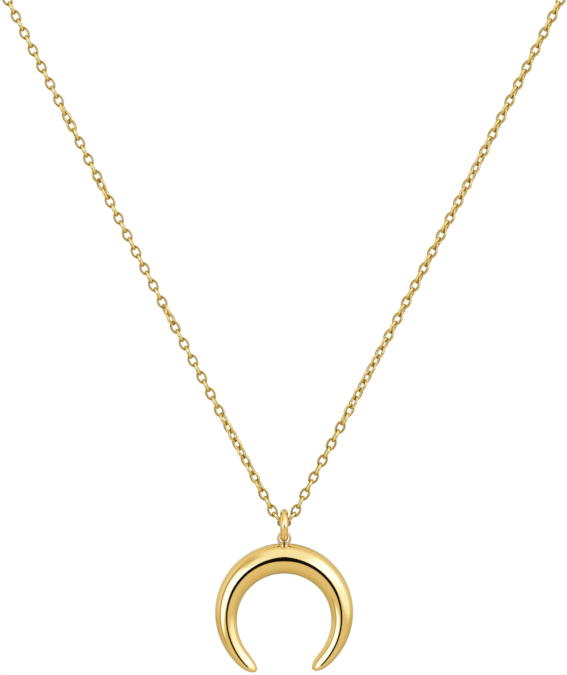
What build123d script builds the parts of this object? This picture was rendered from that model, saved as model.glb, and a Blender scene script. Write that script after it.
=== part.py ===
"""Crescent moon pendant on a fine cable chain, as one closed necklace.

A polished horn-shaped crescent hangs, horns down, from a small eye soldered to its crown. The eye
hangs in a round jump ring, and the chain runs through that ring. The chain lies as it does when it
is worn: two nearly straight runs rise from the pendant in an upright plane, turn back over the
collar bones and go round the neck to a spring-ring clasp at the nape.

Frame: millimetres. The origin is where the nape touches the inner side of the clasp. +Z is up, +X
is to the right as one looks at the front of the necklace, and the front faces -Y.
"""
import math
import os

from build123d import *

# Crescent, a round horn bent to a moon
moon_width = 20.0             # across the outer outline
crown_thickness = 4.4         # at the top of the arc
HORN = [                      # degrees from the crown, thickness there as a share of the crown's,
    (20.0, 0.985, 1.000),     # reach of the outer side as a share of the moon's radius
    (40.0, 0.945, 1.000),
    (60.0, 0.870, 1.000),
    (80.0, 0.785, 1.000),
    (100.0, 0.700, 1.003),
    (120.0, 0.610, 1.008),
    (141.0, 0.505, 1.014),
]
TIP = [                       # share of the rounded tip's length, share of the last row's thickness
    (0.45, 0.840),
    (0.75, 0.615),
    (0.93, 0.330),
]
tip_angle = 154.8             # degrees from the crown to the end of the tip
tip_reach = 0.927             # the tip's distance from the moon's middle, as a share of its radius

# Eye soldered to the crown
eye_wire = 0.32               # thickness of the eye's wire
eye_play = 0.35               # free room in the eye beyond the jump ring's wire
eye_sink = 0.05               # how far the eye's hole dips into the crown

# Jump ring that the chain runs through
ring_wire = 1.16              # thickness of the ring's wire
ring_play = 0.92              # free room in the ring's hole beyond the width of a link
hang_gap = 0.08               # running gap where one piece hangs on another

# Cable chain
link_wire = 0.27              # thickness of a link's wire
link_width = 1.5              # outer width of a link
link_pitch = 1.372            # from one link's centre to the next along the chain
link_gap = 0.12               # free gap where two links hook
link_end_radius = 0.5         # radius of a link's rounded end, at the middle of its wire
run_links = 64                # links modelled one by one on each straight run

# Lowest links: steps from the middle link across, up, and the tilt of the link in degrees
first_step = (1.00, 0.78, 49.0)
second_step = (1.70, 1.76)

# Right half of the chain's route; the left half is its mirror image. The first row is the mouth of
# the V in its upright plane, and the last is the bend from which the chain lies straight along X.
ROUTE = [
    (21.4, -86.8, -65.7),
    (47.1, -86.8, -15.0),
    (53.2, -66.5, -8.5),
    (55.4, -46.0, -4.5),
    (51.0, -25.5, -2.0),
    (38.5, -8.2, -0.6),
    (19.5, 0.6, 0.0),
]
middle_link_height = -104.6   # height of the middle link, below the nape
bend_share = 0.45             # share of the shorter run that a bend takes up

# Turn of the links about the chain: share of the run from the pendant up, degrees left and right
ROLL = [
    (0.00, 0.0, 0.0),
    (0.06, 30.0, 4.0),
    (0.16, 45.0, 8.0),
    (0.20, 4.0, 38.0),
    (0.30, 0.0, 48.0),
    (0.34, 0.0, 68.0),
    (0.40, 90.0, 68.0),
    (0.59, 90.0, 64.0),
    (0.65, 180.0, 46.0),
    (0.71, 180.0, 64.0),
    (0.77, 90.0, 66.0),
    (0.81, 90.0, 68.0),
    (1.00, 90.0, 68.0),
]

# Spring-ring clasp, made as one plain piece, and the ring that it closes on
clasp_wire = 1.2              # thickness of the clasp's tube
clasp_width = 6.0             # outer width of the clasp's ring
clasp_eye_wire = 0.56         # thickness of the eye on the clasp
clasp_eye_width = 2.3         # outer width of that eye
clasp_weld = 0.15             # how far the eye is sunk in the clasp's tube
knob_diameter = 0.7           # thumb knob of the clasp
knob_height = 0.9             # how far the knob stands out of the tube
knob_angle = 50.0             # degrees from +X round to the knob
end_ring_wire = 0.6           # thickness of the end ring's wire
end_ring_width = 3.6          # outer width of the end ring
closed_gap = 0.12             # free gap where the rings and the links at the nape hook
nape_links = 2                # links modelled one by one on each side of the clasp

# Sizes that follow from the ones above
moon_radius = moon_width / 2
link_length = link_pitch + 2 * link_wire + link_gap
front_y = ROUTE[0][1]
nape_y = ROUTE[-1][1]
nape_z = ROUTE[-1][2]
ring_radius = (link_width + ring_play + ring_wire) / 2
ring_hole_radius = ring_radius - ring_wire / 2
ring_height = middle_link_height + link_width / 2 + hang_gap - ring_hole_radius
hinge_height = ring_height - ring_radius
eye_hole_radius = (ring_wire + eye_play) / 2
eye_radius = eye_hole_radius + eye_wire / 2
eye_height = hinge_height + ring_wire / 2 + hang_gap - eye_hole_radius
moon_height = eye_height - eye_hole_radius + eye_sink - moon_radius


def torus_at(centre, normal, mid_radius, wire):
    """A closed round ring of round wire."""
    return Plane(origin=centre, z_dir=normal) * Torus(mid_radius, wire / 2)


def horn_point(angle, reach):
    """The point at an angle from the crown and a distance from the moon's middle."""
    turn = math.radians(angle)
    return Vector(reach * math.sin(turn), front_y, moon_height + reach * math.cos(turn))


def horn_section(angle, reach, thickness):
    """Round section of the horn about a point of its middle line."""
    turn = math.radians(angle)
    along = Vector(math.cos(turn), 0, -math.sin(turn))
    return Plane(origin=horn_point(angle, reach), z_dir=along) * Circle(thickness / 2)


def horn_rows():
    """Angle, distance of the middle line and thickness of each section from the crown to a tip."""
    rows = []
    for angle, thickness_share, outer_share in HORN:
        thickness = thickness_share * crown_thickness
        rows.append((angle, outer_share * moon_radius - thickness / 2, thickness))
    round_angle, round_reach, round_thickness = rows[-1]
    for part, share in TIP:
        angle = round_angle + part * (tip_angle - round_angle)
        reach = round_reach + part * (tip_reach * moon_radius - round_reach)
        rows.append((angle, reach, share * round_thickness))
    return rows


def make_crescent():
    """The horn, lofted from tip to tip, with the eye soldered to its crown."""
    rows = horn_rows()
    crown = horn_section(0, moon_radius - crown_thickness / 2, crown_thickness)
    left = [horn_section(-angle, reach, thickness) for angle, reach, thickness in reversed(rows)]
    right = [horn_section(angle, reach, thickness) for angle, reach, thickness in rows]
    tips = [Vertex(*horn_point(side * tip_angle, tip_reach * moon_radius)) for side in (-1, 1)]
    horn = loft(tips[:1] + left + [crown] + right + tips[1:])
    eye = torus_at((0, front_y, eye_height), (0, 1, 0), eye_radius, eye_wire)
    return horn + eye


def make_jump_ring():
    """The ring seen edge-on from the front: its hole lies along X, and the chain runs through it."""
    return torus_at((0, front_y, ring_height), (1, 0, 0), ring_radius, ring_wire)


def make_link():
    """One oval link about the origin, along X and flat in the XY plane, of two sizes of arc."""
    half_length = (link_length - link_wire) / 2
    half_width = (link_width - link_wire) / 2
    end_x = half_length - link_end_radius
    rise = half_width - link_end_radius
    drop = (end_x**2 - rise**2) / (2 * rise)
    side_radius = half_width + drop
    end_turn = math.degrees(math.atan2(drop, end_x))
    side_turn = 180 - 2 * end_turn
    path = Wire(
        [
            CenterArc((end_x, 0), link_end_radius, -end_turn, 2 * end_turn).edge(),
            CenterArc((0, -drop), side_radius, end_turn, side_turn).edge(),
            CenterArc((-end_x, 0), link_end_radius, 180 - end_turn, 2 * end_turn).edge(),
            CenterArc((0, drop), side_radius, 180 + end_turn, side_turn).edge(),
        ]
    )
    return sweep(Plane(origin=path @ 0, z_dir=path % 0) * Circle(link_wire / 2), path=path)


def place_link(link, centre, along, flat_normal):
    """A copy of the link at a point, its length along one direction and its flat side facing another."""
    return Plane(origin=centre, x_dir=along, z_dir=flat_normal) * link


def roll_at(share, side):
    """Turn of the links about the chain at a share of the run, on the left (-1) or right (1) side."""
    column = 1 if side < 0 else 2
    for low, high in zip(ROLL, ROLL[1:]):
        if share <= high[0]:
            part = (share - low[0]) / (high[0] - low[0])
            return low[column] + part * (high[column] - low[column])
    return ROLL[-1][column]


def limp_radii(points):
    """The largest bend at each corner of a route that leaves part of every run straight."""
    radii = []
    for before, corner, after in zip(points, points[1:], points[2:]):
        arriving = corner - before
        leaving = after - corner
        half_turn = math.radians(arriving.get_angle(leaving)) / 2
        radii.append(bend_share * min(arriving.length, leaving.length) / math.tan(half_turn))
    return radii


def mirrored(point, side):
    """A point of the right half's route on the side asked for."""
    return Vector(side * point[0], point[1], point[2])


def front_run(side):
    """Line of one straight run, from the second link above the ring to the top of the V."""
    across, up = second_step
    start = Vector(side * across, front_y, middle_link_height + up)
    points = [start, mirrored(ROUTE[0], side), mirrored(ROUTE[1], side)]
    return FilletPolyline(*points, radius=limp_radii(points)).wire()


def point_on(run, length):
    """The point at a length along a line, measured from its start."""
    return run.position_at(length, position_mode=PositionMode.LENGTH)


def way_on(run, length):
    """The direction at a length along a line, measured from its start."""
    return run.tangent_at(length, position_mode=PositionMode.LENGTH)


def front_links(link, side):
    """The links of one run, one step past the middle link and on up the V."""
    across, up, tilt = first_step
    lean = math.radians(tilt)
    facing = Vector(0, -1, 0)
    along = Vector(side * math.cos(lean), 0, math.sin(lean))
    centre = (side * across, front_y, middle_link_height + up)
    links = [place_link(link, centre, along, facing.cross(along))]
    run = front_run(side)
    for number in range(run_links):
        length = number * link_pitch
        along = way_on(run, length)
        turn = 90 * (number % 2) + side * roll_at(number / (run_links - 1), side)
        normal = facing.rotate(Axis((0, 0, 0), along), turn)
        links.append(place_link(link, point_on(run, length), along, normal))
    return links


def clasp_centre_x():
    """Where the clasp sits, so that both ends of the chain are as far from the middle of the nape."""
    return (left_reach() - right_reach()) / 2


def left_reach():
    """From the clasp's centre to the middle of the eye's outer wire, where the left end hooks."""
    eye_offset = (clasp_width + clasp_eye_width) / 2 - clasp_weld
    return eye_offset + (clasp_eye_width - clasp_eye_wire) / 2 - clasp_eye_wire / 2


def end_ring_offset():
    """From the clasp's centre to the end ring's, whose wire hooks inside the clasp's ring."""
    clasp_hole_side = clasp_width / 2 - clasp_wire
    return clasp_hole_side - closed_gap + (end_ring_width - 2 * end_ring_wire) / 2


def right_reach():
    """From the clasp's centre to the inner side of the end ring's outer wire."""
    return end_ring_offset() + end_ring_width / 2 - end_ring_wire


def nape_link_x():
    """Distance from the middle of the nape to the centre of the last link on either side."""
    reach = (left_reach() + right_reach()) / 2
    return reach - closed_gap - link_wire + link_length / 2


def tube_end_x():
    """Where the plain stretch of chain ends, just short of the links at the nape."""
    last_link = nape_link_x() + (nape_links - 1) * link_pitch
    return last_link + link_length / 2 + link_gap


def nape_end_links(link, side):
    """The last links of one end: flat beside the clasp's eye, upright in the end ring, and so on."""
    along = Vector(side, 0, 0)
    upright_first = side > 0
    links = []
    for number in range(nape_links):
        upright = (number % 2 == 0) == upright_first
        normal = Vector(0, 1, 0) if upright else Vector(0, 0, 1)
        centre = (side * (nape_link_x() + number * link_pitch), nape_y, nape_z)
        links.append(place_link(link, centre, along, normal))
    return links


def make_chain_links():
    """Every link that is made one by one: the middle link, both runs of the V and both ends."""
    link = make_link()
    middle = place_link(link, (0, front_y, middle_link_height), (1, 0, 0), (0, -1, 0))
    links = [middle]
    for side in (-1, 1):
        links += front_links(link, side)
        links += nape_end_links(link, side)
    return Compound(children=links)


def chain_tube(side):
    """The stretch of chain behind the V as a tube of the links' width: runs and tangent arcs."""
    start_length = (run_links - 1) * link_pitch + link_length / 2 + link_gap
    start = point_on(front_run(side), start_length)
    points = [start] + [mirrored(row, side) for row in ROUTE[1:]]
    points.append(Vector(side * tube_end_x(), nape_y, nape_z))
    radii = limp_radii(points)
    path = FilletPolyline(*points, radius=radii).wire()
    section = Plane(origin=path @ 0, z_dir=path % 0) * Circle(link_width / 2)
    tube = sweep(section, path=path)
    return tube, path, radii


def make_clasp():
    """Closed spring-ring clasp: ring, eye and thumb knob in one piece, flat against the nape."""
    centre = Vector(clasp_centre_x(), nape_y, nape_z)
    mid_radius = (clasp_width - clasp_wire) / 2
    ring = torus_at(centre, (0, 1, 0), mid_radius, clasp_wire)
    eye_offset = (clasp_width + clasp_eye_width) / 2 - clasp_weld
    eye_radius_here = (clasp_eye_width - clasp_eye_wire) / 2
    eye = torus_at(centre - Vector(eye_offset, 0, 0), (0, 1, 0), eye_radius_here, clasp_eye_wire)
    lean = math.radians(knob_angle)
    outward = Vector(math.cos(lean), 0, math.sin(lean))
    foot = Plane(origin=centre + outward * mid_radius, z_dir=outward)
    length = clasp_wire / 2 + knob_height
    knob = foot * Cylinder(knob_diameter / 2, length, align=(Align.CENTER, Align.CENTER, Align.MIN))
    return ring + eye + knob


def make_end_ring():
    """The ring at the chain's right end, level, hooked in the clasp's ring."""
    centre = Vector(clasp_centre_x() + end_ring_offset(), nape_y, nape_z)
    return torus_at(centre, (0, 0, 1), (end_ring_width - end_ring_wire) / 2, end_ring_wire)


def report_sizes(paths, radii):
    """Print what the drawings are checked by: lengths, bends and where the joints turn."""
    run_length = (run_links - 1) * link_pitch + link_length / 2 + link_gap
    bottom = math.hypot(*second_step)
    half = bottom + run_length + paths[0].length + tube_end_x()
    print("chain round the neck, clasp included:", round(2 * half, 1), "mm")
    print("tube bends:", [round(radius, 1) for radius in radii], "mm")
    tube_area = math.pi * link_width**2 / 4
    print("tube volume by length:", round(tube_area * paths[0].length, 2), "mm3")
    print("link length:", round(link_length, 3), "mm")
    swing_height = middle_link_height + (link_width - link_wire) / 2
    print("ring turns about X at:", (0, front_y, round(swing_height, 3)))
    print("crescent turns about Y at:", (0, front_y, round(hinge_height, 3)))
    print("crown at z:", round(moon_height + moon_radius, 3))


def main():
    os.makedirs("parts", exist_ok=True)
    tubes = [chain_tube(side) for side in (-1, 1)]
    nodes = {
        "crescent": make_crescent(),
        "jump_ring": make_jump_ring(),
        "chain_links": make_chain_links(),
        "back_chain": Compound(children=[tube for tube, path, radii in tubes]),
        "clasp": make_clasp(),
        "end_ring": make_end_ring(),
    }
    for name, shape in nodes.items():
        export_step(shape, f"parts/{name}.step")
    report_sizes([path for tube, path, radii in tubes], tubes[0][2])


main()
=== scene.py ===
"""Looks of the crescent moon necklace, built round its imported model."""

import math

import bpy
from bpy.props import FloatProperty, FloatVectorProperty, IntProperty, PointerProperty
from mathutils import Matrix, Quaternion, Vector


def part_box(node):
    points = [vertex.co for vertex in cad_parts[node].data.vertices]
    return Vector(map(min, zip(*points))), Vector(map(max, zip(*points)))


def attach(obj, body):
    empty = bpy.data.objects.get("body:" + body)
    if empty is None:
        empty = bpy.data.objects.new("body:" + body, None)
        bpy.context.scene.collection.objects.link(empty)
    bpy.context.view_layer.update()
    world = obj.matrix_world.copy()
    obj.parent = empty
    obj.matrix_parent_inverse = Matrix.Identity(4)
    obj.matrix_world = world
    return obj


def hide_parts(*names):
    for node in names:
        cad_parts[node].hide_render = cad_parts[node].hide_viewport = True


bl_info = {
    "name": "Crescent Moon Necklace",
    "version": (1, 0, 0),
    "blender": (4, 5, 0),
    "location": "View3D > Sidebar > Necklace",
    "description": "Builds a crescent moon pendant on a fine cable chain with its clasp and studio",
    "category": "Add Mesh",
}

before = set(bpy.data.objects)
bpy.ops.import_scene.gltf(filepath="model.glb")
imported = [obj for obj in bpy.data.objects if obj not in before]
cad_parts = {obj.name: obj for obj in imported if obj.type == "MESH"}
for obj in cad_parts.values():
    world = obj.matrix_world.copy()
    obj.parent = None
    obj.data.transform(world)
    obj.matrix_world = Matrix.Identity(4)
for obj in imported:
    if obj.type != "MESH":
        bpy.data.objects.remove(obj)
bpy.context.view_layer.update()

MM = 0.001
SHADE = "shade"  # mark on a mesh's points where shade and dark reflections are painted into its gold
UP = Vector((0, 0, 1))
FRONT = Vector((0, -1, 0))
ACROSS = Vector((1, 0, 0))
FACING_BACK = (0.0, 1.0, 0.0)  # for rings that lie in the plane of the pendant

# Height of the photograph in pixels, and what one of them covers at the pendant
PICTURE_HEIGHT = 675
MM_PER_PIXEL = 0.14535

# Right half of the chain's route in millimetres, as in the solids, from the V up and back to the
# nape; the left half is its mirror image
ROUTE = [
    (21.4, -86.8, -65.7),
    (47.1, -86.8, -15.0),
    (53.2, -66.5, -8.5),
    (55.4, -46.0, -4.5),
    (51.0, -25.5, -2.0),
    (38.5, -8.2, -0.6),
    (19.5, 0.6, 0.0),
]
FRONT_Y = -86.8 * MM
NAPE_Y = 0.6 * MM
MIDDLE_LINK_Z = -104.6 * MM
FIRST_STEP = (1.00, 0.78, 49.0)  # mm across and up to the link beside the middle one; its tilt
SECOND_STEP = (1.70, 1.76)  # mm across and up to the link where the straight run starts
RUN_LINKS = 64
HOOK_GAP = 0.11 * MM  # between the last link's wire and the ring that it hooks into
BEND_SHARE = 0.45  # share of the shorter run that a bend takes up
BEND_STEPS = 24
QUARTER = 90  # degrees from one link to the next about the chain
LAY = ("way", "flat")  # marks on the chain's points: way that a link runs, and where its flat faces

# Turn of the links about the chain: share of the run from the pendant up, degrees left and right
ROLL = [
    (0.00, 0.0, 0.0),
    (0.06, 30.0, 4.0),
    (0.16, 45.0, 8.0),
    (0.20, 4.0, 38.0),
    (0.30, 0.0, 48.0),
    (0.34, 0.0, 68.0),
    (0.40, 90.0, 68.0),
    (0.59, 90.0, 64.0),
    (0.65, 180.0, 46.0),
    (0.71, 180.0, 64.0),
    (0.77, 90.0, 66.0),
    (0.81, 90.0, 68.0),
    (1.00, 90.0, 68.0),
]


# Sizes and colours


class MoonSizes(bpy.types.PropertyGroup):
    """Sizes of the crescent and its eye"""

    width: FloatProperty(
        name="Moon Width",
        description="Width of the crescent across its outer outline",
        default=20.0 * MM,
        unit="LENGTH",
        precision=5,
    )
    crown: FloatProperty(
        name="Crown Thickness",
        description="Thickness of the horn at the top of the arc",
        default=4.4 * MM,
        unit="LENGTH",
        precision=5,
    )
    tip_angle: FloatProperty(
        name="Tip Angle",
        description="Angle from the crown round to the end of each tip",
        default=math.radians(154.8),
        unit="ROTATION",
    )
    right_shortfall: FloatProperty(
        name="Right Shortfall",
        description="How much shorter the right limb is than the left, as a share of its angle",
        default=0.007,
    )
    round_angle: FloatProperty(
        name="Rounding Angle",
        description="Angle from the crown where a tip starts to round off",
        default=math.radians(137.5),
        unit="ROTATION",
    )
    left_flare: FloatProperty(
        name="Left Flare",
        description="How far the left tip swings out, as a share of the moon's radius",
        default=0.030,
    )
    right_flare: FloatProperty(
        name="Right Flare",
        description="How far the right tip swings out, as a share of the moon's radius",
        default=0.010,
    )
    ridge_in: FloatProperty(
        name="Ridge Inward",
        description="Pull of the horn's front and back ridges to the inside of the arc "
        "on the limbs",
        default=0.5,
    )
    ridge_out: FloatProperty(
        name="Ridge Outward",
        description="Pull of the ridges to the outside of the arc near the tips",
        default=1.0,
    )
    eye_wire: FloatProperty(
        name="Eye Wire",
        description="Thickness of the eye's wire",
        default=0.36 * MM,
        unit="LENGTH",
        precision=5,
    )
    eye_width: FloatProperty(
        name="Eye Width",
        description="Outer width of the eye",
        default=2.15 * MM,
        unit="LENGTH",
        precision=5,
    )


class RingSizes(bpy.types.PropertyGroup):
    """Sizes of the jump ring"""

    wire: FloatProperty(
        name="Ring Wire",
        description="Thickness of the jump ring's wire",
        default=1.16 * MM,
        unit="LENGTH",
        precision=5,
    )
    width: FloatProperty(
        name="Ring Width",
        description="Outer width of the jump ring",
        default=4.74 * MM,
        unit="LENGTH",
        precision=5,
    )


class ChainSizes(bpy.types.PropertyGroup):
    """Sizes of the cable chain's links"""

    wire: FloatProperty(
        name="Link Wire",
        description="Thickness of a link's wire",
        default=0.36 * MM,
        unit="LENGTH",
        precision=5,
    )
    depth: FloatProperty(
        name="Link Depth",
        description="Thickness of a link's wire across its flat side",
        default=0.50 * MM,
        unit="LENGTH",
        precision=5,
    )
    width: FloatProperty(
        name="Link Width",
        description="Outer width of a link",
        default=1.5 * MM,
        unit="LENGTH",
        precision=5,
    )
    length: FloatProperty(
        name="Link Length",
        description="Outer length of a link",
        default=2.10 * MM,
        unit="LENGTH",
        precision=5,
    )
    pitch: FloatProperty(
        name="Link Pitch",
        description="Distance from one link's centre to the next along the chain",
        default=1.372 * MM,
        unit="LENGTH",
        precision=5,
    )
    segments: IntProperty(
        name="Link Segments",
        description="Steps round one link",
        default=12,
        min=8,
    )
    sides: IntProperty(
        name="Link Sides",
        description="Sides of a link's wire, with an edge to the front and to the back",
        default=6,
        min=6,
    )


class ClaspSizes(bpy.types.PropertyGroup):
    """Sizes of the clasp and the ring that it closes on"""

    wire: FloatProperty(
        name="Clasp Wire",
        description="Thickness of the clasp's tube",
        default=1.2 * MM,
        unit="LENGTH",
        precision=5,
    )
    eye_wire: FloatProperty(
        name="Clasp Eye Wire",
        description="Thickness of the eye on the clasp",
        default=0.56 * MM,
        unit="LENGTH",
        precision=5,
    )
    knob: FloatProperty(
        name="Knob Diameter",
        description="Diameter of the thumb knob",
        default=0.7 * MM,
        unit="LENGTH",
        precision=5,
    )
    end_wire: FloatProperty(
        name="End Ring Wire",
        description="Thickness of the end ring's wire",
        default=0.6 * MM,
        unit="LENGTH",
        precision=5,
    )


class FinishColours(bpy.types.PropertyGroup):
    """Colours of the gold"""

    gold: FloatVectorProperty(
        name="Gold",
        description="Colour of the polished gold",
        subtype="COLOR",
        size=3,
        default=(0.98, 0.77, 0.38),
    )
    wire_gold: FloatVectorProperty(
        name="Chain Gold",
        description="Colour of the gold on the chain's wire",
        subtype="COLOR",
        size=3,
        default=(1.0, 0.77, 0.26),
    )


class StudioSizes(bpy.types.PropertyGroup):
    """Camera and floor"""

    distance: FloatProperty(
        name="Camera Distance",
        description="From the camera to the plane of the pendant",
        default=0.75,
        unit="LENGTH",
    )
    middle_x: FloatProperty(
        name="Picture Middle Across",
        description="How far right of the pendant the middle of the picture lies",
        default=-0.1 * MM,
        unit="LENGTH",
        precision=5,
    )
    middle_z: FloatProperty(
        name="Picture Middle",
        description="Height that lies in the middle of the picture",
        default=-77.67 * MM,
        unit="LENGTH",
        precision=5,
    )
    floor_z: FloatProperty(
        name="Floor Height",
        description="Height of the floor below the nape",
        default=-0.32,
        unit="LENGTH",
    )
    floor_width: FloatProperty(
        name="Floor Width",
        description="Width of the floor",
        default=5.0,
        unit="LENGTH",
    )


# Node trees


def put(tree, kind, values=None, **settings):
    """Adds a node, sets it up, and gives each input its value or links it to another's output."""
    made = tree.nodes.new(kind)
    for name, value in settings.items():
        setattr(made, name, value)
    for key, value in (values or {}).items():
        socket = made.inputs[key]
        if isinstance(value, bpy.types.NodeSocket):
            tree.links.new(value, socket)
        else:
            socket.default_value = value
    return made


def out(tree, kind, values=None, **settings):
    """The first output of a node that is added in the same way."""
    return put(tree, kind, values, **settings).outputs[0]


def calc(tree, operation, *values):
    """A math node's result."""
    return out(tree, "ShaderNodeMath", dict(enumerate(values)), operation=operation)


def times(tree, *values):
    """A product of two numbers or sockets."""
    return calc(tree, "MULTIPLY", *values)


def plus(tree, *places):
    """A sum of two places."""
    return out(tree, "ShaderNodeVectorMath", dict(enumerate(places)), operation="ADD")


def vector(tree, x, y, z):
    """A vector made of three numbers or sockets."""
    return out(tree, "ShaderNodeCombineXYZ", {0: x, 1: y, 2: z})


def shape_tree(name, inputs):
    """A geometry tree with a shape in and out and named inputs; returned with their sockets."""
    tree = bpy.data.node_groups.new(name, "GeometryNodeTree")
    tree.interface.new_socket("Geometry", in_out="INPUT", socket_type="NodeSocketGeometry")
    for label, kind in inputs:
        tree.interface.new_socket(label, in_out="INPUT", socket_type="NodeSocket" + kind)
    tree.interface.new_socket("Geometry", in_out="OUTPUT", socket_type="NodeSocketGeometry")
    return tree, tree.nodes.new("NodeGroupInput").outputs


def end_tree(tree, shape, material):
    """Finishes a tree: real geometry, smooth shading, one material."""
    real = out(tree, "GeometryNodeRealizeInstances", {"Geometry": shape})
    smooth = out(tree, "GeometryNodeSetShadeSmooth", {"Geometry": real})
    dressed = out(tree, "GeometryNodeSetMaterial", {"Geometry": smooth, "Material": material})
    put(tree, "NodeGroupOutput", {0: dressed})


def join(tree, *parts):
    """Several geometries as one."""
    made = tree.nodes.new("GeometryNodeJoinGeometry")
    for part in parts:
        tree.links.new(part, made.inputs[0])
    return made.outputs[0]


def marked(tree, shape, value):
    """A geometry with the mark that the finishes read as shade."""
    return out(
        tree,
        "GeometryNodeStoreNamedAttribute",
        {"Geometry": shape, "Name": SHADE, "Value": value},
        domain="POINT",
        data_type="FLOAT",
    )


RING_INPUTS = [
    ("Centre", "Vector"),
    ("Facing", "Vector"),
    ("Outer Width", "Float"),
    ("Wire", "Float"),
    ("Segments", "Int"),
    ("Sides", "Int"),
]


def round_ring_group():
    """A round ring of round wire at a centre, facing along a direction; made once and shared."""
    found = bpy.data.node_groups.get("Round Ring")
    if found:
        return found
    tree, given = shape_tree("Round Ring", RING_INPUTS)
    middle = times(tree, calc(tree, "SUBTRACT", given["Outer Width"], given["Wire"]), 0.5)
    path, section = (
        out(tree, "GeometryNodeCurvePrimitiveCircle", {"Resolution": steps, "Radius": radius})
        for steps, radius in (
            (given["Segments"], middle),
            (given["Sides"], times(tree, given["Wire"], 0.5)),
        )
    )
    skin = out(tree, "GeometryNodeCurveToMesh", {"Curve": path, "Profile Curve": section})
    turn = out(tree, "FunctionNodeAlignRotationToVector", {"Vector": given["Facing"]}, axis="Z")
    placed = out(
        tree,
        "GeometryNodeTransform",
        {"Geometry": skin, "Translation": given["Centre"], "Rotation": turn},
    )
    put(tree, "NodeGroupOutput", {0: placed})
    return tree


def ring_in(tree, *values):
    """The shared ring in another tree, given values in the order of its inputs."""
    given = {label: value for (label, _kind), value in zip(RING_INPUTS, values)}
    return out(tree, "GeometryNodeGroup", given, node_tree=round_ring_group())


def settle(name, tree, values, body, nodes, start=None):
    """Runs a tree on an object, keeps the result as a plain mesh, and ties it to its body."""
    maker = bpy.data.objects.new(name + "_maker", start or bpy.data.meshes.new(name + "_start"))
    bpy.context.scene.collection.objects.link(maker)
    modifier = maker.modifiers.new(tree.name, "NODES")
    modifier.node_group = tree
    sockets = {
        item.name: item.identifier
        for item in tree.interface.items_tree
        if item.item_type == "SOCKET" and item.in_out == "INPUT"
    }
    for label, value in values.items():
        modifier[sockets[label]] = value
    depsgraph = bpy.context.evaluated_depsgraph_get()
    mesh = bpy.data.meshes.new_from_object(maker.evaluated_get(depsgraph), depsgraph=depsgraph)
    mesh.name = name
    maker.modifiers.remove(modifier)
    bpy.data.objects.remove(maker)
    for label in LAY:
        if label in mesh.attributes:
            mesh.attributes.remove(mesh.attributes[label])
    piece = bpy.data.objects.new(name, mesh)
    bpy.context.scene.collection.objects.link(piece)
    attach(piece, body)
    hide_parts(*nodes)


# Finishes

# Wear of a polished surface
SCRATCH_STRETCH = (1.0, 0.12, 1.0)  # scratches run from front to back
SCRATCH_FROM, SCRATCH_FULL = 0.56, 0.70  # noise where a scratch starts and where it is whole
SCRATCH_HEIGHT = -0.25  # against the height of the buffing waves
WAVE_WEAR = 0.35  # roughness that the waves add, as a share of the wear
TINT = (0.90, 0.66, 0.29, 1.0)  # warmer gold that the waves mix in
TINT_SHARE = 0.10

# The two golds: what their wear group is given, and the strength of their relief
MIRROR_WEAR = {"Wave Scale": 260.0, "Scratch Scale": 2600.0, "Gloss": 0.03, "Wear": 0.04}
MIRROR_RELIEF = 0.05
MIRROR_EDGE = (0.54, 0.58, 0.62)  # tint of the reflection where the surface turns away
WIRE_WEAR = {"Wave Scale": 700.0, "Scratch Scale": 5200.0, "Gloss": 0.10, "Wear": 0.10}
WIRE_RELIEF = 0.10
WIRE_EDGE = (0.80, 0.74, 0.62)
RELIEF_DEPTH = 0.02 * MM

# Painted shade: gold darkened where the mark for shade says so
SHADED_GOLD = (0.30, 0.28, 0.28)  # share of each colour left where shade is painted: dark reflections on flat faces, shade at link ends and in the slit
SHADE_FROM = 0.58  # up to here the mark leaves a surface bright


def polish_group():
    """Wear of a polished surface: soft buffing waves, fine scratches and a faint change of tint."""
    found = bpy.data.node_groups.get("Polish Wear")
    if found:
        return found
    tree = bpy.data.node_groups.new("Polish Wear", "ShaderNodeTree")
    for label in ("Wave Scale", "Scratch Scale", "Gloss", "Wear"):
        tree.interface.new_socket(label, in_out="INPUT", socket_type="NodeSocketFloat")
    tree.interface.new_socket("Colour", in_out="INPUT", socket_type="NodeSocketColor")
    for label, kind in (("Colour", "Color"), ("Roughness", "Float"), ("Height", "Float")):
        tree.interface.new_socket(label, in_out="OUTPUT", socket_type="NodeSocket" + kind)
    given = tree.nodes.new("NodeGroupInput").outputs
    place = tree.nodes.new("ShaderNodeTexCoord").outputs["Object"]
    wave = out(
        tree,
        "ShaderNodeTexNoise",
        {"Vector": place, "Scale": given["Wave Scale"], "Detail": 2.0, "Roughness": 0.4},
    )
    stretched = out(tree, "ShaderNodeMapping", {"Vector": place, "Scale": SCRATCH_STRETCH})
    scratch = out(
        tree,
        "ShaderNodeTexNoise",
        {"Vector": stretched, "Scale": given["Scratch Scale"], "Detail": 6.0, "Roughness": 0.7},
    )
    lines = out(
        tree,
        "ShaderNodeMapRange",
        {"Value": scratch, "From Min": SCRATCH_FROM, "From Max": SCRATCH_FULL},
    )
    rough = calc(tree, "MULTIPLY_ADD", lines, given["Wear"], given["Gloss"])
    wave_wear = times(tree, given["Wear"], WAVE_WEAR)
    rough = calc(tree, "MULTIPLY_ADD", wave, wave_wear, rough)
    height = calc(tree, "MULTIPLY_ADD", lines, SCRATCH_HEIGHT, wave)
    tinted = put(
        tree,
        "ShaderNodeMix",
        {0: times(tree, wave, TINT_SHARE), 6: given["Colour"], 7: TINT},
        data_type="RGBA",
    ).outputs[2]
    put(tree, "NodeGroupOutput", {0: tinted, 1: rough, 2: height})
    return tree


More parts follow.
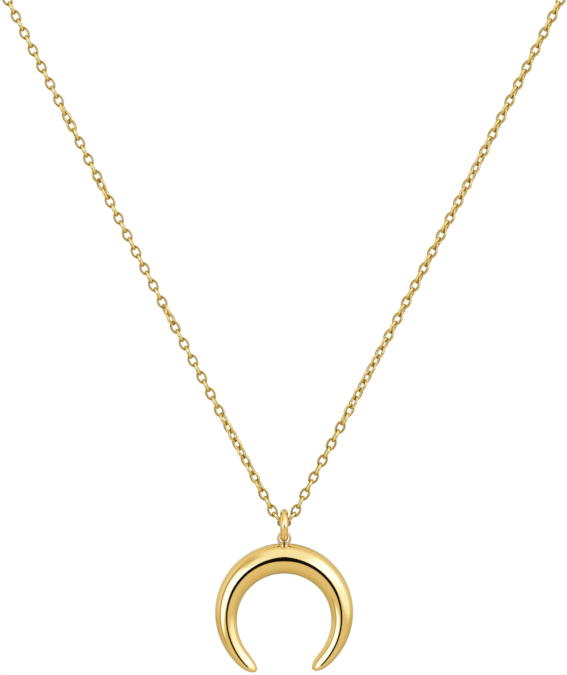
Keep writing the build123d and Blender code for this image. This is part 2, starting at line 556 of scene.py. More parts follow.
def gold(name, colour, wear, relief_strength, edge):
    """A polished gold material, with shade painted into its colour where the mark for shade says
    so.
    """
    material = bpy.data.materials.get(name) or bpy.data.materials.new(name)
    material.use_nodes = True
    tree = material.node_tree
    tree.nodes.clear()
    given = {**wear, "Colour": (*colour, 1.0)}
    wear_and_end_shade = put(tree, "ShaderNodeGroup", given, node_tree=polish_group()).outputs
    shade = put(tree, "ShaderNodeAttribute", attribute_name=SHADE).outputs["Fac"]
    # How far painted shade darkens the colour; past whole in the slit
    painted_shade_share = calc(tree, "DIVIDE", calc(tree, "SUBTRACT", shade, SHADE_FROM), 1.0 - SHADE_FROM)
    painted_shade_share = calc(tree, "MAXIMUM", painted_shade_share, 0.0)
    shaded = (*[part * left for part, left in zip(colour, SHADED_GOLD)], 1.0)
    skin_colour = put(
        tree,
        "ShaderNodeMix",
        {0: painted_shade_share, 6: wear_and_end_shade["Colour"], 7: shaded},
        data_type="RGBA",
        clamp_factor=False,
    ).outputs[2]
    relief = out(
        tree,
        "ShaderNodeBump",
        {"Height": wear_and_end_shade["Height"], "Strength": relief_strength, "Distance": RELIEF_DEPTH},
    )
    skin = out(
        tree,
        "ShaderNodeBsdfPrincipled",
        {
            "Base Color": skin_colour,
            "Roughness": wear_and_end_shade["Roughness"],
            "Normal": relief,
            "Metallic": 1.0,
            "Specular Tint": (*edge, 1.0),
        },
    )
    put(tree, "ShaderNodeOutputMaterial", {"Surface": skin})
    return material


def mirror_gold():
    """Gold of the crescent, the rings and the clasp."""
    colour = bpy.context.scene.necklace_finish.gold
    return gold("mirror_gold", colour, MIRROR_WEAR, MIRROR_RELIEF, MIRROR_EDGE)


def drawn_gold():
    """Gold of the chain's fine wire."""
    colour = bpy.context.scene.necklace_finish.wire_gold
    return gold("drawn_gold", colour, WIRE_WEAR, WIRE_RELIEF, WIRE_EDGE)


# Crescent

TAPER = (0.9615, -0.7194, 0.3365)  # loss of thickness by the square of the share of the tip angle
HORN_STEPS, HORN_SIDES = 320, 80
EYE_STEPS = (96, 24)  # round the eye and round its wire
BALL_STEPS = {"Segments": 32, "Rings": 20}  # of a bead of solder and of the clasp's knob
WIDTH_CLOSING, DEPTH_CLOSING = 3.0, 7.0  # how late a tip closes, seen from the front and the side
SAME_PLACE = 0.0001 * MM  # points closer than this are one
EYE_SINK = 0.01 * MM  # how far the eye's hole dips into the crown
SLIT_DARK, SLIT_EDGE = 0.08 * MM, 0.20 * MM  # half widths of the shade painted along the slit, on the solder and the crown
SLIT_END = 1.44 * MM  # lower end of the slit's shade and its reflection, painted on the crown below the eye's middle
SLIT_SHADE = 1.12  # mark for painted shade in the slit, past that of a fully shaded face
RIM_FULL, RIM_FROM = 0.30, 0.90  # shares of the half wire where the eye's rims take full painted shade, for a dark reflected outline, and where they stay bright

# Solder under the eye, in millimetres: the middle of each bead across, forward and down from the
# eye's middle, then its half width, depth and height
SOLDER = [
    (-0.32, 0.0, 0.80, 0.33, 0.40, 0.34),
    (0.32, 0.0, 0.80, 0.33, 0.40, 0.34),
    # a web between the two feet, darkened all over by painted shade: a dark piece where there is
    # only the shade of the gap
    (0.0, 0.0, 0.80, 0.20, 0.24, 0.27),
    (-0.31, 1.14, 1.10, 0.24, 0.28, 0.36),
    (0.31, 1.14, 1.10, 0.24, 0.28, 0.36),
]

# The horn tree's inputs, and the size that each takes
HORN_SIZES = {
    "Moon Width": "width",
    "Crown Thickness": "crown",
    "Tip Angle": "tip_angle",
    "Rounding Angle": "round_angle",
    "Right Shortfall": "right_shortfall",
    "Left Flare": "left_flare",
    "Right Flare": "right_flare",
    "Ridge Inward": "ridge_in",
    "Ridge Outward": "ridge_out",
    "Eye Width": "eye_width",
    "Eye Wire": "eye_wire",
}


def closing(tree, run, power):
    """How a tip closes, from one where it starts to round off to nothing at its end."""
    left = calc(tree, "SUBTRACT", 1.0, calc(tree, "POWER", run, power))
    return calc(tree, "SQRT", calc(tree, "MAXIMUM", left, 0.0))


def solder(tree, eye_centre):
    """The beads of solder under the eye."""
    bead = out(tree, "GeometryNodeMeshUVSphere", {**BALL_STEPS, "Radius": 1.0})
    beads = []
    for across, forward, down, *half_sizes in SOLDER:
        place = plus(tree, eye_centre, Vector((across, -forward, -down)) * MM)
        size = Vector(half_sizes) * MM
        values = {"Geometry": bead, "Translation": place, "Scale": size}
        beads.append(out(tree, "GeometryNodeTransform", values))
    return join(tree, *beads)


def horn_tree():
    """The horn from tip to tip as a wrapped grid, with the eye on its crown."""
    tree, given = shape_tree(
        "Crescent Horn",
        [
            *[(label, "Float") for label in HORN_SIZES],
            ("Middle", "Vector"),
            ("Eye Centre", "Vector"),
            ("Material", "Material"),
        ],
    )
    grid = out(
        tree,
        "GeometryNodeMeshGrid",
        {
            "Size X": 2.0,
            "Size Y": 2 * math.pi,
            "Vertices X": HORN_STEPS + 1,
            "Vertices Y": HORN_SIDES + 1,
        },
    )
    position = tree.nodes.new("GeometryNodeInputPosition").outputs[0]
    spot = put(tree, "ShaderNodeSeparateXYZ", {0: position}).outputs
    # Share of the limb, and its angle from the crown
    share = calc(tree, "SINE", times(tree, spot[0], math.pi / 2))
    square = times(tree, share, share)
    on_right = calc(tree, "GREATER_THAN", share, 0.0)
    short = times(tree, times(tree, on_right, square), given["Right Shortfall"])
    angle = times(tree, share, given["Tip Angle"])
    angle = times(tree, angle, calc(tree, "SUBTRACT", 1.0, short))

    # Thickness, which tapers along the limb
    taper = times(tree, square, TAPER[2])
    taper = times(tree, calc(tree, "ADD", taper, TAPER[1]), square)
    taper = times(tree, calc(tree, "ADD", taper, TAPER[0]), square)
    body = calc(tree, "SUBTRACT", 1.0, taper)
    thickness = times(tree, given["Crown Thickness"], body)

    # Rounded tips
    past = calc(tree, "DIVIDE", given["Rounding Angle"], given["Tip Angle"])
    run = calc(tree, "SUBTRACT", calc(tree, "ABSOLUTE", share), past)
    run = calc(tree, "DIVIDE", run, calc(tree, "SUBTRACT", 1.0, past))
    run = calc(tree, "MINIMUM", calc(tree, "MAXIMUM", run, 0.0), 1.0)
    half_width, half_depth = (
        times(tree, times(tree, thickness, 0.5), closing(tree, run, power))
        for power in (WIDTH_CLOSING, DEPTH_CLOSING)
    )

    # Middle of the horn's section, which swings out toward the tips
    flare = out(
        tree,
        "ShaderNodeMix",
        {0: on_right, 2: given["Left Flare"], 3: given["Right Flare"]},
        data_type="FLOAT",
    )
    swing = calc(tree, "MULTIPLY_ADD", flare, times(tree, square, square), 1.0)
    outer = times(tree, times(tree, given["Moon Width"], 0.5), swing)
    middle = calc(tree, "MULTIPLY_ADD", thickness, -0.5, outer)

    # Section, with its ridges pulled in along the limbs and out at the tips
    about = spot[1]
    pull = times(tree, square, given["Ridge Outward"])
    pull = times(tree, calc(tree, "SUBTRACT", given["Ridge Inward"], pull), square)
    ridge = times(tree, calc(tree, "SINE", about), calc(tree, "SINE", about))
    across = calc(tree, "SUBTRACT", calc(tree, "COSINE", about), times(tree, ridge, pull))
    reach = calc(tree, "MULTIPLY_ADD", across, half_width, middle)
    place = vector(
        tree,
        times(tree, reach, calc(tree, "SINE", angle)),
        times(tree, calc(tree, "SINE", about), half_depth),
        times(tree, reach, calc(tree, "COSINE", angle)),
    )
    place = plus(tree, place, given["Middle"])
    horn = out(tree, "GeometryNodeSetPosition", {"Geometry": grid, "Position": place})
    horn = out(tree, "GeometryNodeMergeByDistance", {"Geometry": horn, "Distance": SAME_PLACE})

    # Eye and solder, with shade painted on the eye's rims as a dark reflected outline, and in the
    # slit on the solder and down the crown as the gap's shade and its reflection
    eye = ring_in(
        tree, given["Eye Centre"], FACING_BACK, given["Eye Width"], given["Eye Wire"], *EYE_STEPS
    )
    eye_y, eye_z = put(tree, "ShaderNodeSeparateXYZ", {0: given["Eye Centre"]}).outputs[1:]
    # Painted dark outline on the eye's rims, standing in for its reflections
    forward = calc(tree, "ABSOLUTE", calc(tree, "SUBTRACT", spot[1], eye_y))
    forward = calc(tree, "DIVIDE", times(tree, forward, 2.0), given["Eye Wire"])
    rims = out(
        tree, "ShaderNodeMapRange", {"Value": forward, "From Min": RIM_FROM, "From Max": RIM_FULL}
    )
    slit = out(
        tree,
        "ShaderNodeMapRange",
        {
            "Value": calc(tree, "ABSOLUTE", spot[0]),
            "From Min": SLIT_EDGE,
            "From Max": SLIT_DARK,
            "To Max": SLIT_SHADE,
        },
    )
    in_front = calc(tree, "LESS_THAN", spot[1], eye_y)
    under_eye = calc(tree, "LESS_THAN", calc(tree, "SUBTRACT", eye_z, spot[2]), SLIT_END)
    on_crown = times(tree, slit, times(tree, in_front, under_eye))
    horn = marked(tree, horn, on_crown)
    eye = marked(tree, eye, rims)
    beads = marked(tree, solder(tree, given["Eye Centre"]), slit)
    end_tree(tree, join(tree, horn, eye, beads), given["Material"])
    return tree


class NECKLACE_OT_crescent(bpy.types.Operator):
    """Build the polished crescent with the eye soldered to its crown"""

    bl_idname = "necklace.crescent"
    bl_label = "Crescent"

    def execute(self, context):
        sizes = context.scene.necklace_moon
        _low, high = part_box("crescent")
        eye_z = high.z - sizes.eye_width / 2
        crown_z = eye_z - sizes.eye_width / 2 + sizes.eye_wire + EYE_SINK
        settle(
            "crescent_gold",
            horn_tree(),
            {
                **{label: getattr(sizes, size) for label, size in HORN_SIZES.items()},
                "Middle": (0.0, FRONT_Y, crown_z - sizes.width / 2),
                "Eye Centre": (0.0, FRONT_Y, eye_z),
                "Material": mirror_gold(),
            },
            "moon",
            ["crescent"],
        )
        return {"FINISHED"}


# Jump ring

RING_STEPS = (128, 48)  # round the ring and round its wire


def plain_ring_tree():
    """The shared ring by itself, with a finish."""
    tree, given = shape_tree("Plain Ring", RING_INPUTS + [("Material", "Material")])
    ring = ring_in(tree, *(given[label] for label, _kind in RING_INPUTS))
    end_tree(tree, ring, given["Material"])
    return tree


class NECKLACE_OT_jump_ring(bpy.types.Operator):
    """Build the round ring that the moon and the chain hang in"""

    bl_idname = "necklace.jump_ring"
    bl_label = "Jump Ring"

    def execute(self, context):
        sizes = context.scene.necklace_ring
        low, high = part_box("jump_ring")
        settle(
            "jump_ring_gold",
            plain_ring_tree(),
            {
                "Centre": (low + high) / 2,
                "Facing": ACROSS,
                "Outer Width": sizes.width,
                "Wire": sizes.wire,
                "Segments": RING_STEPS[0],
                "Sides": RING_STEPS[1],
                "Material": mirror_gold(),
            },
            "bail",
            ["jump_ring"],
        )
        return {"FINISHED"}


# Chain

END_SHADE_FROM, END_SHADE_FULL = 0.34, 0.49  # shares of a link's length from its middle to where painted shade on its ends starts and where it is whole


def on_side(point, side):
    """A point of the right half's route on the side asked for, in metres."""
    return Vector((side * point[0], point[1], point[2])) * MM


def rounded(points):
    """A route's runs, with each corner rounded in short steps as far as its shorter run allows."""
    line = [points[0]]
    for before, corner, after in zip(points, points[1:], points[2:]):
        reach = BEND_SHARE * min((corner - before).length, (after - corner).length)
        start = corner + (before - corner).normalized() * reach
        end = corner + (after - corner).normalized() * reach
        for step in range(BEND_STEPS + 1):
            part = step / BEND_STEPS
            line.append(start.lerp(corner, part).lerp(corner.lerp(end, part), part))
    return line + [points[-1]]


def line_length(line):
    """Length of a line of short steps."""
    return sum((b - a).length for a, b in zip(line, line[1:]))


def walk(line, length):
    """The point at a length along a line of short steps, and the way that it runs there."""
    for a, b in zip(line, line[1:]):
        step = (b - a).length
        if length <= step and step > 0:
            return a.lerp(b, length / step), (b - a) / step
        length -= step
    way = (line[-1] - line[-2]).normalized()
    return line[-1] + way * length, way


def roll_at(share, side):
    """Turn of the links about the chain at a share of the left (-1) or right (1) run."""
    column = 1 if side < 0 else 2
    for low, high in zip(ROLL, ROLL[1:]):
        if share <= high[0]:
            part = (share - low[0]) / (high[0] - low[0])
            return low[column] + part * (high[column] - low[column])
    return ROLL[-1][column]


def turned(normal, way, degrees):
    """A direction turned about the chain."""
    return Quaternion(way, math.radians(degrees)) @ normal


def front_links(side, pitch):
    """Centre, way and flat side of each link of one straight run, from the pendant up."""
    across, up, tilt = FIRST_STEP
    lean = math.radians(tilt)
    way = Vector((side * math.cos(lean), 0, math.sin(lean)))
    centre = Vector((side * across * MM, FRONT_Y, MIDDLE_LINK_Z + up * MM))
    links = [(centre, way, FRONT.cross(way))]
    across, up = SECOND_STEP
    start = Vector((side * across * MM, FRONT_Y, MIDDLE_LINK_Z + up * MM))
    line = rounded([start, on_side(ROUTE[0], side), on_side(ROUTE[1], side)])
    for number in range(RUN_LINKS):
        centre, way = walk(line, number * pitch)
        turn = QUARTER * (number % 2) + side * roll_at(number / (RUN_LINKS - 1), side)
        links.append((centre, way, turned(FRONT, way, turn)))
    return links


def nape_links(side, sizes):
    """Centre, way and flat side of the two links at one end, outer link first."""
    way = ACROSS * side
    ring_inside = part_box("end_ring")[1].x - bpy.context.scene.necklace_clasp.end_wire
    last_x = ring_inside - HOOK_GAP - sizes.wire + sizes.length / 2
    flats = (FRONT, UP) if side > 0 else (UP, FRONT)
    found = [
        (Vector((side * (last_x + number * sizes.pitch), NAPE_Y, 0)), -way, flat)
        for number, flat in enumerate(flats)
    ]
    return found[::-1]


def neck_links(side, last_front, first_nape, pitch):
    """The links between the top of the V and the nape, turning evenly to meet both ends."""
    line = rounded([last_front[0], *(on_side(row, side) for row in ROUTE[1:]), first_nape[0]])
    whole = line_length(line)
    steps = round(whole / pitch)
    way_before, carried = last_front[1:]
    spots = []
    for number in range(1, steps + 1):
        centre, way = walk(line, number * whole / steps)
        carried = way_before.rotation_difference(way) @ carried
        way_before = way
        spots.append((centre, way, carried))
    centre, way, carried = spots[-1]
    reached = turned(carried, way, QUARTER * steps)
    wanted = first_nape[2]
    rest = math.degrees(math.atan2(reached.cross(wanted).dot(way), reached.dot(wanted)))
    rest = (rest + QUARTER) % (2 * QUARTER) - QUARTER
    return [
        (centre, way, turned(carried, way, (QUARTER + rest / steps) * (number + 1)))
        for number, (centre, way, carried) in enumerate(spots[:-1])
    ]


def chain_tree():
    """One oval link on every given point, laid along its way with its flat side as given."""
    tree, given = shape_tree(
        "Cable Chain",
        [
            ("Link Length", "Float"),
            ("Link Width", "Float"),
            ("Wire", "Float"),
            ("Wire Depth", "Float"),
            ("Segments", "Int"),
            ("Sides", "Int"),
            ("Material", "Material"),
        ],
    )
    circle = out(
        tree,
        "GeometryNodeCurvePrimitiveCircle",
        {"Resolution": given["Segments"], "Radius": 0.5},
    )
    spread = vector(
        tree,
        calc(tree, "SUBTRACT", given["Link Length"], given["Wire"]),
        calc(tree, "SUBTRACT", given["Link Width"], given["Wire"]),
        1.0,
    )
    spot = tree.nodes.new("GeometryNodeInputPosition").outputs[0]
    place = out(tree, "ShaderNodeVectorMath", {0: spot, 1: spread}, operation="MULTIPLY")
    oval = out(tree, "GeometryNodeSetPosition", {"Geometry": circle, "Position": place})
    half_side = calc(tree, "DIVIDE", math.pi, given["Sides"])
    across_edges = calc(tree, "DIVIDE", given["Wire"], calc(tree, "COSINE", half_side))
    section = out(
        tree,
        "GeometryNodeCurvePrimitiveCircle",
        {"Resolution": given["Sides"], "Radius": times(tree, across_edges, 0.5)},
    )
    section = out(
        tree,
        "GeometryNodeTransform",
        {"Geometry": section, "Rotation": vector(tree, 0.0, 0.0, half_side)},
    )
    link = out(tree, "GeometryNodeCurveToMesh", {"Curve": oval, "Profile Curve": section})
    flatten = vector(tree, 1.0, 1.0, calc(tree, "DIVIDE", given["Wire Depth"], across_edges))
    link = out(tree, "GeometryNodeTransform", {"Geometry": link, "Scale": flatten})
    there = put(tree, "ShaderNodeSeparateXYZ", {0: spot}).outputs
    along = calc(tree, "DIVIDE", calc(tree, "ABSOLUTE", there[0]), given["Link Length"])
    # Painted dark reflection on the flat faces of each link's wire
    forward = calc(tree, "DIVIDE", calc(tree, "ABSOLUTE", there[2]), given["Wire Depth"])
    # Painted shade on each link's ends, where the next link wraps round it
    wear_and_end_shade = out(
        tree,
        "ShaderNodeMapRange",
        {"Value": along, "From Min": END_SHADE_FROM, "From Max": END_SHADE_FULL},
    )
    link = marked(tree, link, calc(tree, "MAXIMUM", wear_and_end_shade, times(tree, forward, 2.0)))
    lay = [
        out(tree, "GeometryNodeInputNamedAttribute", {"Name": label}, data_type="FLOAT_VECTOR")
        for label in LAY
    ]
    turn = out(
        tree,
        "FunctionNodeAxesToRotation",
        {"Primary Axis": lay[0], "Secondary Axis": lay[1]},
        primary_axis="X",
        secondary_axis="Z",
    )
    chain = out(
        tree,
        "GeometryNodeInstanceOnPoints",
        {"Points": given["Geometry"], "Instance": link, "Rotation": turn},
    )
    end_tree(tree, chain, given["Material"])
    return tree


def link_points(name, links):
    """A mesh of points, one for each link, that carry how the link lies."""
    mesh = bpy.data.meshes.new(name)
    mesh.from_pydata([centre for centre, _way, _flat in links], [], [])
    for column, label in enumerate(LAY, 1):
        attribute = mesh.attributes.new(label, "FLOAT_VECTOR", "POINT")
        for number, link in enumerate(links):
            attribute.data[number].vector = link[column]
    return mesh


class NECKLACE_OT_chain(bpy.types.Operator):
    """Build the fine cable chain, round the neck and down both sides to the pendant"""

    bl_idname = "necklace.chain"
    bl_label = "Chain"

    def execute(self, context):
        sizes = context.scene.necklace_chain
        front = [(Vector((0, FRONT_Y, MIDDLE_LINK_Z)), ACROSS, FRONT)]
        neck = []
        for side in (-1, 1):
            run = front_links(side, sizes.pitch)
            ends = nape_links(side, sizes)
            neck += neck_links(side, run[-1], ends[0], sizes.pitch)
            front += run + ends
        tree = chain_tree()
        values = {
            "Link Length": sizes.length,
            "Link Width": sizes.width,
            "Wire": sizes.wire,
            "Wire Depth": sizes.depth,
            "Segments": sizes.segments,
            "Sides": sizes.sides,
            "Material": drawn_gold(),
        }
        for name, links, node in (
            ("front_chain", front, "chain_links"),
            ("neck_chain", neck, "back_chain"),
        ):
            points = link_points(name + "_points", links)
            settle(name, tree, values, "necklace", [node], points)
        return {"FINISHED"}


# Clasp

CLASP_WIDTH = 6.0 * MM
CLASP_EYE_WIDTH = 2.3 * MM
CLASP_WELD = 0.15 * MM  # how far the eye runs into the clasp's tube
CLASP_STEPS = (96, 32)  # round the clasp and round its tube
CLASP_EYE_STEPS = (64, 20)
END_RING_STEPS = (96, 24)
KNOB_ANGLE = math.radians(50.0)  # from straight across, up
KNOB_HEIGHT = 0.9 * MM
KNOB_SIDES = 32
STEM_SHARE = 0.8  # the knob's stem against its head


def clasp_tree():
    """Closed spring-ring clasp: tube ring, eye and a thumb knob with a rounded head."""
    tree, given = shape_tree(
        "Spring Ring Clasp",
        [
            ("Centre", "Vector"),
            ("Clasp Width", "Float"),
            ("Wire", "Float"),
            ("Eye Centre", "Vector"),
            ("Eye Width", "Float"),
            ("Eye Wire", "Float"),
            ("Knob Foot", "Vector"),
            ("Knob Way", "Vector"),
            ("Knob Length", "Float"),
            ("Knob Diameter", "Float"),
            ("Material", "Material"),
        ],
    )
    ring = ring_in(
        tree, given["Centre"], FACING_BACK, given["Clasp Width"], given["Wire"], *CLASP_STEPS
    )
    eye = ring_in(
        tree,
        given["Eye Centre"],
        FACING_BACK,
        given["Eye Width"],
        given["Eye Wire"],
        *CLASP_EYE_STEPS,
    )
    radius = times(tree, given["Knob Diameter"], 0.5)
    stem_length = calc(tree, "SUBTRACT", given["Knob Length"], radius)
    stem_radius = times(tree, radius, STEM_SHARE)
    stem = out(
        tree,
        "GeometryNodeMeshCylinder",
        {"Vertices": KNOB_SIDES, "Radius": stem_radius, "Depth": stem_length},
    )
    stem = out(
        tree,
        "GeometryNodeTransform",
        {"Geometry": stem, "Translation": vector(tree, 0.0, 0.0, times(tree, stem_length, 0.5))},
    )
    head = out(tree, "GeometryNodeMeshUVSphere", {**BALL_STEPS, "Radius": radius})
    head = out(
        tree,
        "GeometryNodeTransform",
        {"Geometry": head, "Translation": vector(tree, 0.0, 0.0, stem_length)},
    )
    turn = out(tree, "FunctionNodeAlignRotationToVector", {"Vector": given["Knob Way"]}, axis="Z")
    knob = out(
        tree,
        "GeometryNodeTransform",
        {"Geometry": join(tree, stem, head), "Translation": given["Knob Foot"], "Rotation": turn},
    )
    end_tree(tree, join(tree, ring, eye, knob), given["Material"])
    return tree


class NECKLACE_OT_clasp(bpy.types.Operator):
    """Build the spring-ring clasp at the nape and the ring that it closes on"""

    bl_idname = "necklace.clasp"
    bl_label = "Clasp and End Ring"

    def execute(self, context):
        sizes = context.scene.necklace_clasp
        low, _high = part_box("clasp")
        eye_x = low.x + CLASP_EYE_WIDTH / 2
        offset = (CLASP_WIDTH + CLASP_EYE_WIDTH) / 2 - CLASP_WELD
        centre = Vector((eye_x + offset, NAPE_Y, 0))
        outward = Vector((math.cos(KNOB_ANGLE), 0, math.sin(KNOB_ANGLE)))
        settle(
            "clasp_gold",
            clasp_tree(),
            {
                "Centre": centre,
                "Clasp Width": CLASP_WIDTH,
                "Wire": sizes.wire,
                "Eye Centre": (eye_x, NAPE_Y, 0.0),
                "Eye Width": CLASP_EYE_WIDTH,
                "Eye Wire": sizes.eye_wire,
                "Knob Foot": centre + outward * (CLASP_WIDTH - sizes.wire) / 2,
                "Knob Way": outward,
                "Knob Length": sizes.wire / 2 + KNOB_HEIGHT,
                "Knob Diameter": sizes.knob,
                "Material": mirror_gold(),
            },
            "necklace",
            ["clasp"],
        )
        low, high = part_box("end_ring")
        settle(
            "end_ring_gold",
            plain_ring_tree(),
            {
                "Centre": (low + high) / 2,
                "Facing": UP,
                "Outer Width": high.x - low.x,
                "Wire": sizes.end_wire,
                "Segments": END_RING_STEPS[0],
                "Sides": END_RING_STEPS[1],
                "Material": mirror_gold(),
            },
            "necklace",
            ["end_ring"],
        )
        return {"FINISHED"}


# Studio

# Soft panels of the light tent, each a patch of it, by directions from the pendant in degrees. How
# far off straight ahead: the nearest and the farthest; angles round that line from overhead,
# clockwise as the camera sees them: the first and the last; width of the soft edge, which is
# doubled at the first and the last; brightness. The last four are behind the pendant.
PANELS = [
    (0.0, 76.0, -36.0, 34.0, 16.0, 2.8),
    (5.0, 44.0, -48.0, -26.0, 16.0, 3.4),
    (7.0, 59.0, -112.0, -54.0, 9.0, 8.5),
    (15.0, 78.0, 38.0, 76.0, 14.0, 10.0),
    (14.0, 84.0, 74.0, 97.0, 10.0, 4.0),
    (46.0, 90.0, -50.0, -26.0, 14.0, 1.0),
    (61.0, 75.0, -124.0, -46.0, 7.0, 0.60),
    (134.0, 168.0, -84.0, -16.0, 12.0, 3.4),
    (138.0, 171.0, 30.0, 84.0, 12.0, 2.8),
    (148.0, 172.0, -142.0, -84.0, 8.0, 4.5),
    (150.0, 171.0, 84.0, 138.0, 8.0, 4.0),
]
GAP_ACROSS = 15.0  # half width of the dark lozenges straight ahead and behind, in degrees
GAP_UP = 18.0  # half height of each
GAP_DROP = -4.0  # height of their middles
GAP_EDGE = (1.08, 0.96)  # where a lozenge starts and is whole, as shares of its half sizes
GAP_DARK = 0.008  # brightness in it
ABOVE_NEAR, ABOVE_FAR = 1.9, 1.35  # brightness above the pendant, in front and behind
ABOVE_FADE = (85.0, 125.0)  # degrees off straight ahead between which it goes from one to the other
BELOW_NEAR, BELOW_FAR = 1.4, 1.0  # the same below
BELOW_FADE = (40.0, 115.0)
LEVEL_FADE = (-0.22, 0.06)  # rise of a direction, from what is below to what is above
WHITE = (1.0, 1.0, 1.0, 1.0)  # paper behind the pendant

# Red, green and blue on film: how fast each fills with light, and how late it starts
FILM = [(1.0, 1.0), (0.52, 1.0), (0.25, 1.5)]

FLOOR_COLOUR = (0.86, 0.87, 0.97, 1.0)
FLOOR_ROUGHNESS = 0.8
SENSOR_WIDTH = 36.0
CLIP_NEAR, CLIP_FAR = 0.05, 50.0


def light_tent():
    """A white tent of soft panels, dimmer below and behind, with a dark gap ahead and behind.

    Its colour is what film keeps of its reflection in gold, divided by the gold's own colour.
    """
    world = bpy.context.scene.world or bpy.data.worlds.new("Light Tent")
    bpy.context.scene.world = world
    world.use_nodes = True
    tree = world.node_tree
    tree.nodes.clear()
    way = tree.nodes.new("ShaderNodeTexCoord").outputs["Generated"]
    x, y, z = put(tree, "ShaderNodeSeparateXYZ", {0: way}).outputs
    ahead = times(tree, y, -1.0)
    off = calc(tree, "DEGREES", calc(tree, "ARCCOSINE", ahead))
    about = calc(tree, "DEGREES", calc(tree, "ARCTAN2", x, z))

    def ease(value, low, high, start=0.0, end=1.0):
        return out(
            tree,
            "ShaderNodeMapRange",
            {"Value": value, "From Min": low, "From Max": high, "To Min": start, "To Max": end},
            interpolation_type="SMOOTHSTEP",
        )

    def lay(under, share, over):
        return out(tree, "ShaderNodeMix", {0: share, 2: under, 3: over})

    above = ease(off, *ABOVE_FADE, ABOVE_NEAR, ABOVE_FAR)
    below = ease(off, *BELOW_FADE, BELOW_NEAR, BELOW_FAR)
    tent = lay(below, ease(z, *LEVEL_FADE), above)
    for near, far, first, last, soft, bright in PANELS:
        half = soft / 2
        patch = ease(off, near - half, near + half)
        patch = times(tree, patch, ease(off, far + half, far - half))
        patch = times(tree, patch, ease(about, first - soft, first + soft))
        patch = times(tree, patch, ease(about, last + soft, last - soft))
        tent = lay(tent, patch, bright)
    side = calc(tree, "DEGREES", calc(tree, "ARCSINE", x))
    rise = calc(tree, "DEGREES", calc(tree, "ARCSINE", z))
    wide = calc(tree, "DIVIDE", side, GAP_ACROSS)
    high = calc(tree, "DIVIDE", calc(tree, "SUBTRACT", rise, GAP_DROP), GAP_UP)
    reach = calc(tree, "ADD", calc(tree, "ABSOLUTE", wide), calc(tree, "ABSOLUTE", high))
    tent = lay(tent, ease(reach, *GAP_EDGE), GAP_DARK)
    tints = []
    for (hold, late), base in zip(FILM, bpy.context.scene.necklace_finish.gold):
        kept = calc(tree, "EXPONENT", times(tree, tent, -hold))
        kept = calc(tree, "POWER", calc(tree, "SUBTRACT", 1.0, kept), late)
        tints.append(calc(tree, "DIVIDE", kept, base))
    light = out(tree, "ShaderNodeCombineColor", dict(enumerate(tints)))
    seen = tree.nodes.new("ShaderNodeLightPath").outputs["Is Camera Ray"]
    glow = put(tree, "ShaderNodeBackground", {"Strength": 1.0, "Color": light})
    paper = put(tree, "ShaderNodeBackground", {"Strength": 1.0, "Color": WHITE})
    mixed = put(tree, "ShaderNodeMixShader", {0: seen, 1: glow.outputs[0], 2: paper.outputs[0]})
    put(tree, "ShaderNodeOutputWorld", {"Surface": mixed.outputs[0]})


def pale_floor(height, width):
    """A plain pale floor below the pendant."""
    mesh = bpy.data.meshes.new("floor")
    half = width / 2
    corners = [(-half, -half), (half, -half), (half, half), (-half, half)]
    mesh.from_pydata([(x, y, height) for x, y in corners], [], [(0, 1, 2, 3)])
    floor = bpy.data.objects.new("floor", mesh)
    bpy.context.scene.collection.objects.link(floor)
    material = bpy.data.materials.new("pale_floor")
    material.use_nodes = True
    skin = material.node_tree.nodes["Principled BSDF"]
    skin.inputs["Base Color"].default_value = FLOOR_COLOUR
    skin.inputs["Roughness"].default_value = FLOOR_ROUGHNESS
    mesh.materials.append(material)
    floor.visible_glossy = False  # the gold mirrors the tent alone


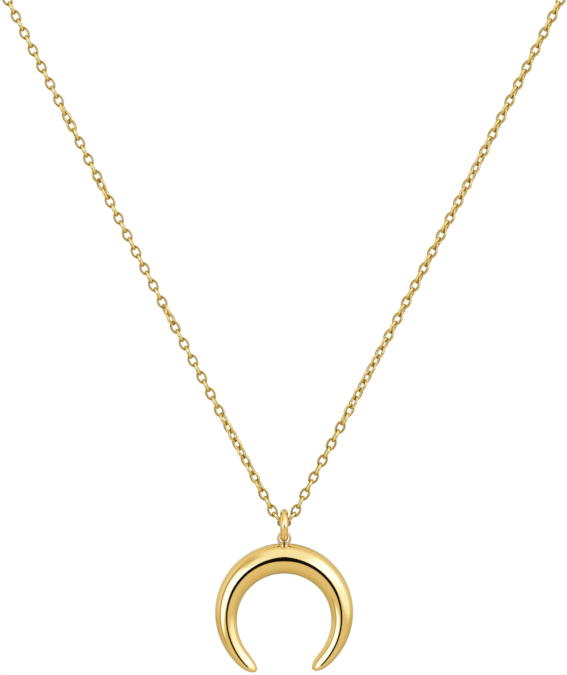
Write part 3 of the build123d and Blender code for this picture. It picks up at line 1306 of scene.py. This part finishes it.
class NECKLACE_OT_studio(bpy.types.Operator):
    """Set up the pale floor, the soft light and the camera"""

    bl_idname = "necklace.studio"
    bl_label = "Studio"

    def execute(self, context):
        sizes = context.scene.necklace_studio
        pale_floor(sizes.floor_z, sizes.floor_width)
        light_tent()
        context.scene.view_settings.view_transform = "Standard"
        lens = bpy.data.cameras.new("camera")
        lens.sensor_width = SENSOR_WIDTH
        tall = PICTURE_HEIGHT * MM_PER_PIXEL * MM  # the sensor spans the picture's longer side
        lens.lens = SENSOR_WIDTH * sizes.distance / tall
        lens.clip_start = CLIP_NEAR
        lens.clip_end = CLIP_FAR
        camera = bpy.data.objects.new("camera", lens)
        camera.location = (sizes.middle_x, FRONT_Y - sizes.distance, sizes.middle_z)
        camera.rotation_euler = (math.pi / 2, 0.0, 0.0)
        context.scene.collection.objects.link(camera)
        context.scene.camera = camera
        return {"FINISHED"}


# Each operator, and the group of its sizes
STEPS = [
    ("studio", "studio"),
    ("crescent", "moon"),
    ("jump_ring", "ring"),
    ("chain", "chain"),
    ("clasp", "clasp"),
]


class NECKLACE_PT_panel(bpy.types.Panel):
    """Necklace tools in the 3D view's sidebar"""

    bl_label = "Crescent Moon Necklace"
    bl_idname = "NECKLACE_PT_panel"
    bl_space_type = "VIEW_3D"
    bl_region_type = "UI"
    bl_category = "Necklace"

    def draw(self, context):
        for operator, group in STEPS:
            box = self.layout.box()
            box.operator("necklace." + operator)
            sizes = getattr(context.scene, "necklace_" + group)
            for label in type(sizes).__annotations__:
                box.prop(sizes, label)
        finish = context.scene.necklace_finish
        for label in type(finish).__annotations__:
            self.layout.prop(finish, label)


GROUPS = {
    "necklace_moon": MoonSizes,
    "necklace_ring": RingSizes,
    "necklace_chain": ChainSizes,
    "necklace_clasp": ClaspSizes,
    "necklace_finish": FinishColours,
    "necklace_studio": StudioSizes,
}
CLASSES = [
    *GROUPS.values(),
    NECKLACE_OT_studio,
    NECKLACE_OT_crescent,
    NECKLACE_OT_jump_ring,
    NECKLACE_OT_chain,
    NECKLACE_OT_clasp,
    NECKLACE_PT_panel,
]


def register():
    for kind in CLASSES:
        bpy.utils.register_class(kind)
    for name, kind in GROUPS.items():
        setattr(bpy.types.Scene, name, PointerProperty(type=kind))


def unregister():
    for name in GROUPS:
        delattr(bpy.types.Scene, name)
    for kind in reversed(CLASSES):
        bpy.utils.unregister_class(kind)


def main():
    register()
    bpy.ops.necklace.studio()
    bpy.ops.necklace.crescent()
    bpy.ops.necklace.jump_ring()
    bpy.ops.necklace.chain()
    bpy.ops.necklace.clasp()


if __name__ == "__main__":
    main()
